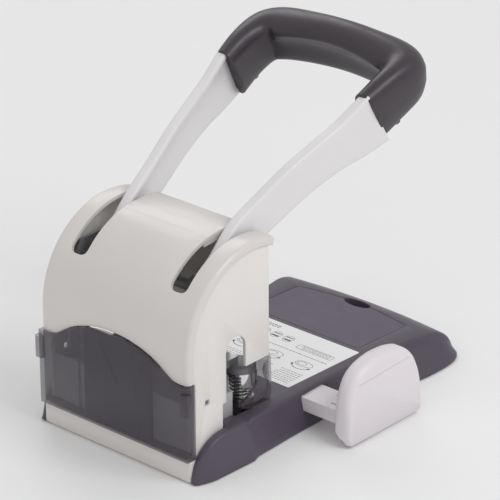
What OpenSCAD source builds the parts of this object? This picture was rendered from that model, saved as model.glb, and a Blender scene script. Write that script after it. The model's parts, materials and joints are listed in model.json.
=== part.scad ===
// Heavy-duty two-hole desktop paper punch, in millimetres.
// Origin: on the desk, midway between the two punches. +Z up, -Y towards the user, X across.
// "left" is the -X side. Everything is drawn with the handle pressed right down.

/* [Punching] */
// Distance between the two punch axes
hole_spacing = 80; // [80:1:82]
// Radius of a punched hole
hole_r = 3; // [2.5:0.25:3]
// How far the punches rise when the handle is lifted
punch_lift = 20; // [14:1:20]
// Distance from the hole centres to the edge of the paper
paper_margin = 12; // [11:0.5:13]

/* [Head] */
// Width of the head over its cover
head_w = 128; // [126:1:132]
// Outer radius of the arched cover
cover_r = 62; // [61:0.5:63]
// Height of the arch's centre above the desk
arc_z = 83.5; // [83:0.5:85]
// Wall thickness of the moulded covers
wall = 2.5; // [2:0.1:3]

/* [Base] */
// Height of the paper table under the punches
table_z = 25; // [24.5:0.5:25.5]
// Front edge of the base, in front of the punches
base_front = 182; // [181:0.5:183]
// Thickness of the table's top wall
table_wall = 2.6; // [2:0.1:2.8]

/* [Handle] */
// Height of the handle axle
axle_z = 110; // [109:0.5:111]
// Distance of the handle axle behind the punches
axle_y = 29.5; // [29:0.5:30]
// Angle through which the handle lifts
handle_swing = 75; // [60:1:75]
// Thickness of a handle arm
arm_t = 8; // [7:0.5:8]

/* [Paper guide] */
// How far the guide plate's inner face stands from the centre
guide_x = 98; // [96:1:150]

/* [Hidden] */
$fn = 64;
small_fn = 32;
fit = 0.05;                 // radial clearance of a running fit
gap = 0.3;                  // air between neighbouring pieces

left = -1;
right = 1;
punch_x = hole_spacing / 2;

// Head outline: an arch over the axle, seen from the side
arc_y = 12;
cover_in_r = cover_r - wall;
seam_r = cover_r - 6;                       // where the cover's rim meets the side panel
head_rear = arc_y + cover_r;
head_front = -6.5;
panel_x = head_w / 2 - 1;                   // outer face of a side panel
panel_t = 2.5;
facet_start = 24;                           // the cover's middle runs straight in front of this
slot_in = 36;                               // handle slots in the cover
slot_out = 50;
slot_end_angle = 36.5;
guard_notch_x = 53.9;                      // the fascia is cut away here for the finger guards

// Steel side frames and the base plate
frame_x = 52.5;
frame_t = 2.5;
plate_bottom = 1.5;
plate_top = 5;
leg_front = 42;
leg_rear = 60;

// Table top, seen from the side
slope_rear = 20;
slope_mid = -105;
slope_front = -156;
mid_z = table_z - 2.4;
front_z = table_z - 4.5;
base_bottom = 0.8;
nose_len = base_front + slope_front;       // how far the rounded nose runs in front of the slope
base_rear = 73;

// Storage compartment and its lid
lid_half = 48;
lid_rear = -106;
lid_corner_y = -157.6;      // front corners; the front edge bows forward between them
lid_bow = 6.8;
base_bow = 5;
notch_r = 11;
lid_t = 2.6;
lid_pin_r = 0.8;
lid_axis_y = -108;

// Printed label on the table
label_half = 53.5;
label_rear = -31;
label_len = 71.5;

// Paper guide
bar_y0 = -54.2;
bar_y1 = -32;
bar_z0 = 11.2;
bar_z1 = 21;
bar_inner_end = 20;
guide_t = 12;

// Chip drawer
drawer_bottom = 16.2;
drawer_arch_z = 85;
drawer_arch_r = 76;
drawer_shoulder_z = 68;
drawer_front = 68.3;
drawer_rear = 76.5;
clip_x0 = 60;
clip_x1 = 66.5;
tray_half = 49.5;

// Punch unit, pressed down
cap_r = 10;
cap_z0 = 46;
cap_z1 = 51;
cup_r = 10.8;
cup_z0 = 36.5;
foot_z0 = table_z + 0.2;
foot_z1 = foot_z0 + 1.8;
pin_tip = 20.5;
spring_r = 7;
wire_r = 0.7;
spring_turns = 6;
stem_r = 4;

// Press yoke and its guides
yoke_z0 = 51;
yoke_z1 = 56;
column_x = 16;
column_y = 24;
column_r = 4;
column_top = 88;
bush_r = 6.5;
bridge_z0 = 41;
bridge_z1 = 45;

// Handle cam: its follower's distance falls evenly as the handle lifts
axle_r = 4;
roller_r = 5;
cam_x0 = 29;
cam_x1 = 34;
cam_far = 36;
cam_near = cam_far - punch_lift;
roller_z = axle_z - cam_far;
cam_hub_r = 9;
cam_nose_r = 31.3;

// Handle arms
arm_x = 42.5;
arm_hub_r = 14;
arm_bend_y = 6;
arm_splay = 10.3;
tenon_len = 15;

function deg(rad) = rad * 180 / PI;

// Places a side-view outline (Y, Z) between two X positions
module side_view(x0, x1) {
    translate([x0, 0, 0]) rotate([90, 0, 90]) linear_extrude(x1 - x0) children();
}

// Draws a piece made for the right-hand side on either side
module on_side(s) {
    if (s == left) mirror([1, 0, 0]) children();
    else children();
}

module rod_x(x0, x1, r, y, z, fn = 64) {
    translate([x0, y, z]) rotate([0, 90, 0]) cylinder(h = x1 - x0, r = r, $fn = fn);
}

module block(x0, x1, y0, y1, z0, z1) {
    translate([x0, y0, z0]) cube([x1 - x0, y1 - y0, z1 - z0]);
}

// ---------- Base ----------

// Height of the base's upper surface at y
function ramp(y, y0, z0, y1, z1) = z0 + (z1 - z0) * (y - y0) / (y1 - y0);
function top_z(y) =
    y > 44 ? 28 - 27 * (1 - sqrt(max(0, 1 - pow((y - 44) / (base_rear - 43.8), 2)))) :
    y > 25 ? ramp(y, 44, 28, 25, 27.2) :
    y > slope_mid ? ramp(y, slope_rear, table_z + 0.4, slope_mid, mid_z) :
    y > slope_front ? ramp(y, slope_mid, mid_z, slope_front, front_z) :
    base_bottom + (front_z - base_bottom) * sqrt(max(0, 1 - pow((slope_front - y) / nose_len, 2)));

// Half-width of the base where it meets the desk, and along its upper edge
function waist(y) = pow(cos(min(90, abs(y + 50) * 0.9)), 2);
function corner(y) = pow(max(0, 1 - pow(max(0, -y - 152) / (base_front - 151.5), 3)), 1 / 3);
function foot_half(y) =
    y > 24 ? 74 - 1.5 * (y - 24) / 49 :
    y > -50 ? 69.5 + 3 * (1 - waist(y)) :
    62 + 21 * corner(y) - 13.5 * corner(y) * waist(y);
function edge_half(y) =
    y > 24 ? 69.5 :
    y > -110 ? 63 + 4 * max(0, (y + 50) / 74) :
    y > slope_front ? 63 + 5 * pow((-y - 110) / (-slope_front - 110), 2) :
    foot_half(y) - 15 * (top_z(y) - base_bottom) / (front_z - base_bottom);

// How far the front edge bows forward at x
function bow_at(x, y) = base_bow * pow(min(1, max(0, (-y - 118) / 38)), 2) * (1 - pow(x / 70, 2));

base_stations = concat(
    [for (i = [0:7]) base_rear - 29 * i / 7],
    [34.5, 25.05, 24.95, 12, 0, -12, -25, -37, -50, -62, -75, -87, -99, -111, -122, -132, -141, -149],
    [for (i = [0:8]) slope_front - (nose_len - 0.1) * sin(i * 90 / 8)]);

base_ring_n = 11;
function base_ring(y) =
    let (f = foot_half(y), e = edge_half(y), t = max(top_z(y), base_bottom + 0.3), r = min(1.5, (t - base_bottom) / 4))
    [for (p = [[-f, base_bottom], [-f, base_bottom + r], [-e, t - r], [-e + r, t], [-e / 2, t], [0, t],
               [e / 2, t], [e - r, t], [e, t - r], [f, base_bottom + r], [f, base_bottom]])
        [p[0], y - bow_at(p[0], y), p[1]]];

// Solid outer form of the base, lofted through cross-sections
module base_form() {
    n = base_ring_n;
    last = len(base_stations) - 1;
    points = [for (y = base_stations) each base_ring(y)];
    skin = [for (i = [0:last - 1]) for (j = [0:n - 1]) each
        [[i * n + j, i * n + (j + 1) % n, (i + 1) * n + j],
         [i * n + (j + 1) % n, (i + 1) * n + (j + 1) % n, (i + 1) * n + j]]];
    ends = [[for (j = [n - 1:-1:0]) j], [for (j = [0:n - 1]) last * n + j]];
    polyhedron(points, concat(skin, ends));
}

module table_underside(drop) {
    polygon([[-11.5, 0], [-11.5, top_z(-11.5) - drop], [slope_mid, mid_z - drop],
             [slope_front, front_z - drop], [-170, front_z - drop - 3.5], [-170, 0]]);
}

// Plan of the storage lid, with its bowed front edge
module lid_plan(grow) {
    half = lid_half + grow;
    polygon(concat([for (i = [0:16]) let (x = half * (i / 8 - 1))
                        [x, lid_corner_y - lid_bow * (1 - pow(x / lid_half, 2)) - grow]],
                   [[half, lid_rear + grow], [-half, lid_rear + grow]]));
}

// Finger notch in front of the lid
module lid_notch() {
    translate([0, lid_corner_y - lid_bow + 0.4, front_z - 5]) scale([1, 0.45, 1])
        cylinder(h = 12, r = notch_r, $fn = small_fn);
}

module base_shell() {
    color([0.30, 0.27, 0.32]) difference() {
        union() {
            difference() {
                base_form();
                side_view(-57, 57) table_underside(table_wall);
            }
            // compartment under the lid
            intersection() {
                block(-50.5, 50.5, -169.5, lid_rear + 2.5, 4, 40);
                side_view(-60, 60) table_underside(table_wall - 0.5);
            }
            // bed of the paper guide
            block(-57.5, 30, bar_y0 - 1.5, bar_y1 + 1.5, 4, bar_z0 - 0.2);
        }
        // lid opening and the compartment's inside
        translate([0, 0, mid_z - 5.5]) linear_extrude(20) lid_plan(gap);
        block(-45, 45, lid_corner_y + 2.5, lid_rear + gap, 6, 40);
        lid_notch();
        rod_x(-50.4, 50.4, lid_pin_r, lid_axis_y, top_z(lid_axis_y) - lid_t / 2, small_fn);
        // way out for the paper guide
        block(-90, -50, bar_y0 - gap, bar_y1 + gap, bar_z0 - 0.2, bar_z1 + gap);
        // well for the steel structure, and pockets for the side panels
        block(-55.3, 55.3, -9.4, 90, -1, 60);
        block(-64.3, 64.3, 40.5, 90, -1, 60);
    }
}

module bottom_cover() {
    color([0.22, 0.20, 0.23]) block(-56.7, 56.7, -169.5, -11.8, base_bottom, 2.8);
}

module base_plate() {
    color("silver") block(-frame_x - frame_t, frame_x + frame_t, -9, 68, plate_bottom, plate_top);
}

module desk_pads() {
    color([0.12, 0.12, 0.13]) {
        cylinder(h = plate_bottom, r = 8);
        for (s = [left, right]) {
            translate([s * 44, 56, 0]) cylinder(h = plate_bottom, r = 8);
            translate([s * 64, -146, 0]) cylinder(h = base_bottom, r = 8);
        }
    }
}

module base_screws() {
    color("dimgray") for (s = [left, right], y = [-155, -100, -20])
        translate([s * 52, y, base_bottom - 0.4]) cylinder(h = 0.4, r = 3.2, $fn = small_fn);
}

module info_label() {
    tilt = atan((table_z + 0.4 - mid_z) / (slope_rear - slope_mid));
    color("white") translate([0, label_rear, top_z(label_rear) + 0.02]) rotate([tilt, 0, 0])
        block(-label_half, label_half, -label_len, 0, 0, 0.25);
}

// ---------- Dies and paper stop ----------

module die_block() {
    color("gray") difference() {
        block(-51.5, 51.5, -9, paper_margin - 0.3, 19.5, table_z);
        for (s = [left, right]) translate([s * punch_x, 0, 0]) {
            translate([0, 0, 21]) cylinder(h = 10, r = 7);
            cylinder(h = 30, r = hole_r + 1);
        }
    }
}

module die_ring(s) {
    color("lightgray") translate([s * punch_x, 0, 21]) difference() {
        cylinder(h = table_z - 21, r = 7);
        translate([0, 0, -1]) cylinder(h = 10, r = hole_r + fit);
    }
}

module paper_stop() {
    color("dimgray") block(-24, 24, paper_margin, paper_margin + 3, table_z, bridge_z0);
    color("dimgray") block(-24, 24, paper_margin + 3, paper_margin + 4, bridge_z0 - 6, bridge_z0);
}

// ---------- Head ----------

// Side outline of the arch with radius r, down to z0
module arch_outline(r, z0) {
    translate([arc_y, arc_z]) circle(r);
    translate([arc_y - r, z0]) square([2 * r, arc_z - z0]);
}

module in_front_cut(y0) {
    translate([y0 - 100, -10]) square([100, 300]);
}

// Upper edge of the drawer opening on the head's back
module drawer_arch(grow) {
    intersection() {
        translate([0, drawer_arch_z - drawer_arch_r]) circle(drawer_arch_r + grow, $fn = 128);
        translate([-80, drawer_shoulder_z - 20]) square([160, 60]);
    }
    translate([-80, -20]) square([160, drawer_shoulder_z + grow + 20]);
}

// Rounded rear end of a handle slot, seen along the arch's radius
module slot_end() {
    r = (slot_out - slot_in) / 2;
    hull_r = 4.5;
    for (k = [-1, 1]) translate([k * (r - hull_r), 0]) circle(hull_r, $fn = 48);
    translate([-(r - hull_r), -1]) square([2 * (r - hull_r), hull_r + 1]);
    translate([-r + 0.02, -14]) square([2 * r - 0.04, 14]);
}

module head_cover() {
    facet_z = arc_z + sqrt(pow(cover_r, 2) - pow(facet_start - arc_y, 2));
    color([0.86, 0.85, 0.84]) difference() {
        union() {
            side_view(-head_w / 2, head_w / 2) difference() {
                arch_outline(cover_r, 40);
                in_front_cut(head_front);
            }
            // straight facet over the middle
            side_view(-slot_in, slot_in)
                polygon([[facet_start + 3, facet_z - 1.1], [4, 146.2], [head_front + 0.6, 144.9],
                         [head_front + 0.6, 130], [facet_start + 3, 130]]);
        }
        // hollow, with a deeper rim at the sides
        side_view(-head_w / 2 + 4, head_w / 2 - 4) arch_outline(cover_in_r, -10);
        side_view(-100, 100) arch_outline(seam_r + gap, -10);
        side_view(-100, 100) translate([-60, -10]) square([60 + head_front + 6, 142]);
        // drawer opening
        translate([0, 100, 0]) rotate([90, 0, 0]) linear_extrude(60) drawer_arch(0.4);
        // handle slots, open to the front
        for (s = [left, right]) on_side(s) {
            side_view(slot_in, slot_out) translate([arc_y, arc_z]) rotate(slot_end_angle + 9) square(200);
            translate([(slot_in + slot_out) / 2, arc_y, arc_z]) rotate([slot_end_angle + 6 - 90, 0, 0])
                translate([0, 0, 30]) linear_extrude(60) slot_end();
        }
    }
}

module panel_outline() {
    difference() {
        union() {
            intersection() {
                translate([arc_y, arc_z]) circle(seam_r);
                translate([-2, 40]) square([120, 120]);
            }
            translate([-2, plate_top + 0.3]) square([arc_y + seam_r + 2, arc_z - plate_top]);
        }
        // arched window, open towards the front below
        translate([29, 77]) circle(9);
        translate([20, -1]) square([18, 78]);
        translate([-20, -1]) square([58, 63]);
        translate([-20, -1]) square([61.5, 45]);
        // small service hole
        translate([53.6, 48.2]) square(4.2);
    }
}

module side_panel(s) {
    color([0.88, 0.87, 0.86]) on_side(s) side_view(panel_x - panel_t, panel_x) panel_outline();
}

module front_fascia() {
    color([0.84, 0.83, 0.82]) difference() {
        block(-60, 60, -5, -2.5, 62, 137);
        for (s = [left, right]) on_side(s) {
            block(34.5, 51.5, -10, 0, 106, 200);
            block(guard_notch_x, 70, -10, 0, 60, 67);
            translate([punch_x, 0, 70]) rotate([90, 0, 0]) cylinder(h = 20, r = 13.5);
            block(punch_x - 13.5, punch_x + 13.5, -10, 0, 0, 70);
        }
    }
}

module rear_sill() {
    color([0.86, 0.85, 0.84]) difference() {
        block(-head_w / 2, head_w / 2, drawer_front, head_rear - 0.5, base_bottom, drawer_bottom - gap);
        block(-head_w / 2 + 3, head_w / 2 - 3, drawer_front - 1, head_rear - 3, -1, drawer_bottom - 3);
    }
}

// ---------- Steel structure ----------

module side_frame(s) {
    color("lightsteelblue") on_side(s) difference() {
        side_view(frame_x, frame_x + frame_t) difference() {
            union() {
                translate([leg_front, plate_top]) square([leg_rear - leg_front, 90]);
                polygon([[12, 92], [leg_rear, 92], [leg_rear, 106], [48, 124], [22, 126], [12, 118]]);
            }
        }
        rod_x(40, 70, axle_r, axle_y, axle_z);
    }
}

module guide_bridge() {
    color("silver") difference() {
        union() {
            block(-frame_x, frame_x, leg_front, leg_rear - 2, bridge_z0, bridge_z1);
            block(-30, 30, paper_margin + 4, leg_front + 1, bridge_z0, bridge_z1);
            block(-24, 24, paper_margin, paper_margin + 5, bridge_z0, bridge_z1);
        }
        for (s = [left, right]) translate([s * column_x, column_y, 0]) cylinder(h = 100, r = column_r);
    }
}

module guide_columns() {
    color("gainsboro") for (s = [left, right])
        translate([s * column_x, column_y, bridge_z0]) cylinder(h = column_top - bridge_z0, r = column_r);
}

module column_tie() {
    color("silver") difference() {
        block(-24, 24, column_y - 7, column_y + 7, column_top - 4, column_top);
        for (s = [left, right]) translate([s * column_x, column_y, 0]) cylinder(h = 100, r = column_r);
    }
}

module screw_x(s, y, z) {
    on_side(s) {
        rod_x(frame_x + frame_t, frame_x + frame_t + 2.4, 4, y, z, small_fn);
    }
}

module frame_screws() {
    color("dimgray") for (s = [left, right], z = [12, 66]) screw_x(s, 51, z);
}

// Side outline of a finger guard
module guard_outline() {
    polygon([[-1, 64], [3, 63], [4.5, 60], [3, 52], [2.4, 43], [5, 38.5], [11, 34.5], [17, 32.5], [17, 29],
             [10, 26.2], [4, 25.5], [-13, 25.5], [-17.5, 29], [-20, 35], [-19.5, 43], [-15, 52], [-8, 60]]);
}

module finger_guard(s) {
    color([0.35, 0.32, 0.37, 0.6]) on_side(s) intersection() {
        side_view(30, 58) guard_outline();
        difference() {
            union() {
                translate([37, -3, 20]) cylinder(h = 60, r = 20);
                block(37, 57, -3, 30, 20, 80);
            }
            translate([37, -3, 10]) cylinder(h = 90, r = 17.6);
            block(30, 54.6, -3, 40, 10, 90);
        }
        block(40, 60, -40, 40, 0, 100);
    }
}

// ---------- Handle ----------

module handle_axle() {
    color("silver") rod_x(-frame_x - frame_t - 3, frame_x + frame_t + 3, axle_r, axle_y, axle_z);
}

module axle_clips() {
    color("dimgray") for (s = [left, right]) on_side(s) difference() {
        rod_x(frame_x + frame_t, frame_x + frame_t + 1.2, 6.5, axle_y, axle_z, small_fn);
        rod_x(40, 70, axle_r, axle_y, axle_z);
    }
}

// Side outline of an arm below and above its bend
module arm_lower_outline() {
    translate([axle_y, axle_z]) circle(arm_hub_r);
    polygon([[axle_y + 13.5, axle_z + 3], [35, 127], [21.7, 139], [10.3, 151], [arm_bend_y - 0.3, 153.2],
             [arm_bend_y - 0.3, 125.5], [14, 120], [axle_y - arm_hub_r + 0.4, axle_z - 3]]);
}

module arm_upper_outline() {
    polygon([[arm_bend_y, 153], [-12.7, 164.1], [-34.4, 177], [-59.8, 189.2], [-75, 196.3], [-91.5, 207],
             [-109.6, 173], [-97, 169.8], [-61.2, 160.5], [-43.9, 152], [-13.7, 136.3],
             [arm_bend_y, 125.7]]);
}

// The arm's end inside the grip
module arm_tenon(grow) {
    translate([arm_x, -100, 190.7]) rotate([-28, 0, 0])
        block(-3 - grow, 3 + grow, -tenon_len - grow, 3, -9 - grow, 9 + grow);
}

module splayed() {
    translate([arm_x, arm_bend_y, 0]) rotate([0, 0, arm_splay]) translate([-arm_x, -arm_bend_y, 0]) children();
}

module arm(s) {
    color([0.87, 0.86, 0.86]) on_side(s) difference() {
        union() {
            side_view(arm_x - arm_t / 2, arm_x + arm_t / 2) arm_lower_outline();
            splayed() {
                side_view(arm_x - arm_t / 2, arm_x + arm_t / 2) arm_upper_outline();
                arm_tenon(0);
            }
        }
        rod_x(20, 70, axle_r + fit, axle_y, axle_z);
    }
}

// Grip: a U-shaped bar swept from one sleeve's tip to the other. Each station gives the centre,
// half-width, half-height and how far the section has turned from the sleeve to the crossbar.
grip_half = [[59.6, -102.6, 192.1, 7.7, 20.2, 0], [61.2, -118, 200, 8.6, 19.6, 0],
             [61.2, -131, 205.5, 10.5, 18.8, 10], [57.4, -141, 209.3, 16, 18.2, 43],
             [45, -144.8, 211, 16, 18.2, 76], [28, -146, 212.6, 14.6, 18.6, 86],
             [12, -146.6, 213.6, 13.8, 18.8, 89]];
grip_stations = concat(
    [for (g = grip_half) [g[0], g[1], g[2], g[3], g[4], g[5]]],
    [for (i = [len(grip_half) - 1:-1:0]) let (g = grip_half[i])
        [-g[0], g[1], g[2], g[3], g[4], 180 - g[5]]]);
grip_ring_n = 20;
handle_dir = [0, -0.883, 0.469];
handle_up = [0, 0.469, 0.883];
crossbar_up = [0, 0.27, 0.963];

function squircle(v, p) = sign(v) * pow(abs(v), p);
function grip_ring(g) =
    let (turn = sin(g[5]),
         wide = [cos(g[5]), 0, 0] + turn * handle_dir,
         tall = turn * crossbar_up + (1 - turn) * handle_up,
         p = 0.5 + 0.2 * turn)
    [for (i = [0:grip_ring_n - 1]) let (a = 360 * i / grip_ring_n)
        [g[0], g[1], g[2]] + g[3] * squircle(cos(a), p) * wide + g[4] * squircle(sin(a), p) * tall];

module grip_form() {
    n = grip_ring_n;
    last = len(grip_stations) - 1;
    points = [for (g = grip_stations) each grip_ring(g)];
    skin = [for (i = [0:last - 1]) for (j = [0:n - 1]) each
        [[i * n + j, (i + 1) * n + j, i * n + (j + 1) % n],
         [i * n + (j + 1) % n, (i + 1) * n + j, (i + 1) * n + (j + 1) % n]]];
    ends = [[for (j = [0:n - 1]) j], [for (j = [n - 1:-1:0]) last * n + j]];
    polyhedron(points, concat(skin, ends));
}

module grip() {
    color([0.22, 0.20, 0.23]) difference() {
        grip_form();
        for (s = [left, right]) on_side(s) splayed() arm_tenon(0.1);
    }
}

module grip_screws() {
    color("dimgray") for (s = [left, right]) on_side(s)
        translate([61, -118, 200]) rotate([-28, 0, 0]) translate([0, 0, -20.6])
        cylinder(h = 0.8, r = 3, $fn = small_fn);
}

// Cam edge at lift angle a: the follower's path, set in by the roller's radius and the air gap
function follower_r(a) = cam_far - punch_lift * a / handle_swing;
function cam_point(a) =
    let (r = follower_r(a),
         slope = -deg(punch_lift / handle_swing),
         n = [r, -slope] / norm([r, slope]),
         d = roller_r + gap)
    [(r - n[0] * d) * cos(a - 90) - (-n[1] * d) * sin(a - 90),
     (r - n[0] * d) * sin(a - 90) + (-n[1] * d) * cos(a - 90)];

module cam(s) {
    steps = 24;
    color("silver") on_side(s) difference() {
        union() {
            side_view(cam_x0, cam_x1) translate([axle_y, axle_z]) {
                circle(cam_hub_r);
                intersection() {
                    polygon(concat([for (i = [-2:steps + 1]) cam_point(i * handle_swing / steps)],
                                   [[0, 8], [-8, 0], [-12, -18]]));
                    circle(cam_nose_r);
                }
            }
            rod_x(cam_x1 - 0.01, arm_x - arm_t / 2, cam_hub_r, axle_y, axle_z);
        }
        rod_x(20, 60, axle_r + fit, axle_y, axle_z);
    }
}

// ---------- Punch carriage ----------

module yoke_plan() {
    for (s = [left, right]) translate([s * 35 - 6, 3]) square([12, 14]);
    translate([-41, 14]) square([82, 26]);
}

module press_yoke() {
    color("gainsboro") difference() {
        union() {
            translate([0, 0, yoke_z0]) linear_extrude(yoke_z1 - yoke_z0) yoke_plan();
            for (s = [left, right]) on_side(s) {
                block(25.7, 28.4, 23, 36, yoke_z1 - 1, roller_z + 4.5);
                block(34.4, 37, 23, 36, yoke_z1 - 1, roller_z + 4.5);
            }
        }
        for (s = [left, right]) {
            translate([s * column_x, column_y, 0]) cylinder(h = 200, r = bush_r);
            on_side(s) rod_x(20, 60, 2.2, axle_y, roller_z);
        }
    }
}

module column_bushes() {
    color("goldenrod") for (s = [left, right]) translate([s * column_x, column_y, yoke_z0 - 3]) difference() {
        cylinder(h = 12, r = bush_r);
        translate([0, 0, -1]) cylinder(h = 20, r = column_r + fit);
    }
}

module roller(s) {
    color("silver") on_side(s) difference() {
        rod_x(28.9, 33.9, roller_r, axle_y, roller_z);
        rod_x(20, 60, 2.25, axle_y, roller_z);
    }
}

module roller_pins() {
    color("gray") for (s = [left, right]) on_side(s) rod_x(25.7, 37, 2.2, axle_y, roller_z);
}

module punch_cap(s) {
    color([0.45, 0.44, 0.47]) translate([s * punch_x, 0, cap_z0]) {
        cylinder(h = cap_z1 - cap_z0 - 1, r = cap_r);
        translate([0, 0, cap_z1 - cap_z0 - 1]) cylinder(h = 1, r = cap_r - 0.6);
    }
}

// Chrome cup under the cap, cut away at the back so that the spring shows
module punch_cup(s) {
    color("lightgray") on_side(s) translate([punch_x, 0, 0]) difference() {
        translate([0, 0, cup_z0]) cylinder(h = cap_z0 - cup_z0, r = cup_r);
        translate([0, 0, cup_z0 - 1]) cylinder(h = cap_z0 - cup_z0 - 0.5, r = cup_r - 1);
        rotate([0, 0, 45]) block(0, 20, 0, 20, cup_z0 - 1, cap_z0 - 1.5);
        translate([0, 0, 10]) cylinder(h = 50, r = hole_r);
    }
}

module punch_pin(s) {
    color("silver") translate([s * punch_x, 0, 0]) {
        translate([0, 0, pin_tip]) cylinder(h = cap_z0 - pin_tip, r = hole_r);
        translate([0, 0, foot_z1 + 3.5]) cylinder(h = cap_z0 - 1.5 - foot_z1 - 3.5, r = stem_r + 0.4);
    }
}

// Coil spring between the stripper foot and the cup
module punch_spring(s) {
    z0 = foot_z1 + wire_r + 0.05;
    z1 = cap_z0 - 1.5 - wire_r - 0.05;
    color("dimgray") translate([s * punch_x, 0, 0]) for (i = [0:spring_turns])
        translate([0, 0, z0 + (z1 - z0) * i / spring_turns])
        rotate_extrude($fn = small_fn) translate([spring_r, 0]) circle(wire_r, $fn = 16);
}

module stripper_foot(s) {
    color("lightgray") translate([s * punch_x, 0, foot_z0]) difference() {
        union() {
            cylinder(h = foot_z1 - foot_z0, r = 8.6);
            cylinder(h = foot_z1 - foot_z0 + 3, r = 5.4);
        }
        translate([0, 0, -1]) cylinder(h = 20, r = hole_r + fit);
    }
}

// ---------- Chip drawer ----------

module bin_cover() {
    color([0.45, 0.42, 0.48, 0.55]) difference() {
        union() {
            intersection() {
                translate([0, drawer_rear, 0]) rotate([90, 0, 0]) linear_extrude(drawer_rear - drawer_front)
                    drawer_arch(0);
                block(-64.5, 64.5, 60, 80, drawer_bottom, 100);
                side_view(-70, 70) translate([arc_y, arc_z]) union() {
                    circle(drawer_rear - arc_y);
                    translate([0, -100]) square([drawer_rear - arc_y, 100]);
                }
            }
            for (s = [left, right]) on_side(s) block(clip_x0, clip_x1, 73, 78.5, 49, 64);
        }
        block(-62.3, 62.3, 60, drawer_rear - 2.2, drawer_bottom + 2, 120);
    }
}

module chip_tray() {
    color([0.80, 0.79, 0.80]) {
        block(-tray_half, tray_half, -8, 66.5, drawer_bottom, drawer_bottom + 1.5);
        for (s = [left, right]) on_side(s)
            block(tray_half - 1.5, tray_half, paper_margin + 6, 66.5, drawer_bottom + 1, bridge_z0 - 1.5);
        difference() {
            block(-60, 60, 66, 67.8, drawer_bottom + 2.3, 50);
            block(-26, 26, 60, 70, drawer_bottom + 4, 60);
        }
    }
}

module bin_insert() {
    color([0.15, 0.14, 0.17]) difference() {
        block(-28, 28, 68.2, 72.4, drawer_bottom + 2.3, 79);
        translate([0, 80, 0]) rotate([90, 0, 0]) linear_extrude(9.5)
            polygon([[-16, 76], [16, 76], [0, 48]]);
    }
}

// ---------- Paper guide ----------

module guide_bar() {
    color([0.84, 0.83, 0.84]) block(-guide_x, bar_inner_end, bar_y0, bar_y1, bar_z0, bar_z1);
}

// Side outline of the guide plate, set in by d
module guide_outline(d) {
    offset(delta = -d) polygon([[-97, 1.2], [-27.5, 1.2], [-25.2, 4], [-25, 28], [-28, 41], [-33, 49.5], [-42, 54],
                                [-54, 56.2], [-70, 55.4], [-84, 51.8], [-92, 44.5], [-96.5, 33], [-99, 20],
                                [-98.8, 4]]);
}

module guide_plate() {
    outer_x = -guide_x - guide_t;
    color([0.88, 0.86, 0.88]) difference() {
        hull() {
            side_view(outer_x, outer_x + 0.5) guide_outline(3);
            side_view(outer_x + 3, -guide_x - 1) guide_outline(0);
            side_view(-guide_x - 1, -guide_x) guide_outline(1);
        }
        // sloping foot under the bar
        rotate([90, 0, 0]) linear_extrude(120)
            polygon([[-guide_x + 1, -1], [-guide_x + 1, bar_z0 - 0.5], [-guide_x, bar_z0 - 0.5],
                     [outer_x + 3, -1]]);
    }
}

// ---------- Storage lid ----------

module storage_lid() {
    z0 = top_z(lid_axis_y);
    slope = (mid_z - front_z) / (slope_mid - slope_front);
    reach = lid_corner_y - lid_bow - 1;
    front = z0 + slope * (reach - lid_axis_y);
    color([0.32, 0.29, 0.34]) difference() {
        union() {
            intersection() {
                side_view(-lid_half, lid_half)
                    polygon([[lid_axis_y, z0], [reach, front], [reach, front - lid_t], [lid_axis_y, z0 - lid_t]]);
                linear_extrude(40) lid_plan(0);
            }
            rod_x(-lid_half, lid_half, lid_t / 2, lid_axis_y, z0 - lid_t / 2, small_fn);
        }
        rod_x(-60, 60, lid_pin_r + fit, lid_axis_y, z0 - lid_t / 2, small_fn);
        lid_notch();
    }
}

module lid_hinge_pin() {
    color("silver") rod_x(-50, 50, lid_pin_r, lid_axis_y, top_z(lid_axis_y) - lid_t / 2, small_fn);
}

base_shell();
bottom_cover();
base_plate();
desk_pads();
base_screws();
info_label();
die_block();
die_ring(left);  // die_ring_left
die_ring(right);  // die_ring_right
side_panel(left);  // side_panel_left
side_panel(right);  // side_panel_right
head_cover();
front_fascia();
rear_sill();
side_frame(left);  // side_frame_left
side_frame(right);  // side_frame_right
guide_bridge();
guide_columns();
column_tie();
paper_stop();
frame_screws();
finger_guard(left);  // finger_guard_left
finger_guard(right);  // finger_guard_right
handle_axle();
axle_clips();
arm(left);  // arm_left
arm(right);  // arm_right
grip();
cam(left);  // cam_left
cam(right);  // cam_right
grip_screws();
press_yoke();
column_bushes();
roller(left);  // roller_left
roller(right);  // roller_right
roller_pins();
punch_cap(left);  // punch_cap_left
punch_cap(right);  // punch_cap_right
punch_cup(left);  // punch_cup_left
punch_cup(right);  // punch_cup_right
punch_pin(left);  // punch_pin_left
punch_pin(right);  // punch_pin_right
punch_spring(left);  // punch_spring_left
punch_spring(right);  // punch_spring_right
stripper_foot(left);  // stripper_foot_left
stripper_foot(right);  // stripper_foot_right
bin_cover();
chip_tray();
bin_insert();
guide_bar();
guide_plate();
storage_lid();
lid_hinge_pin();
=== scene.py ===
"""Looks of a heavy-duty two-hole desktop paper punch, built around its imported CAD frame.

Outlines are in millimetres in the CAD frame: origin on the desk between the punches, +Z up,
-Y towards the user. raw_object turns them into metres.
"""
import json
import math
import random

import bmesh
import bpy
from mathutils import Matrix, Vector


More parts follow.
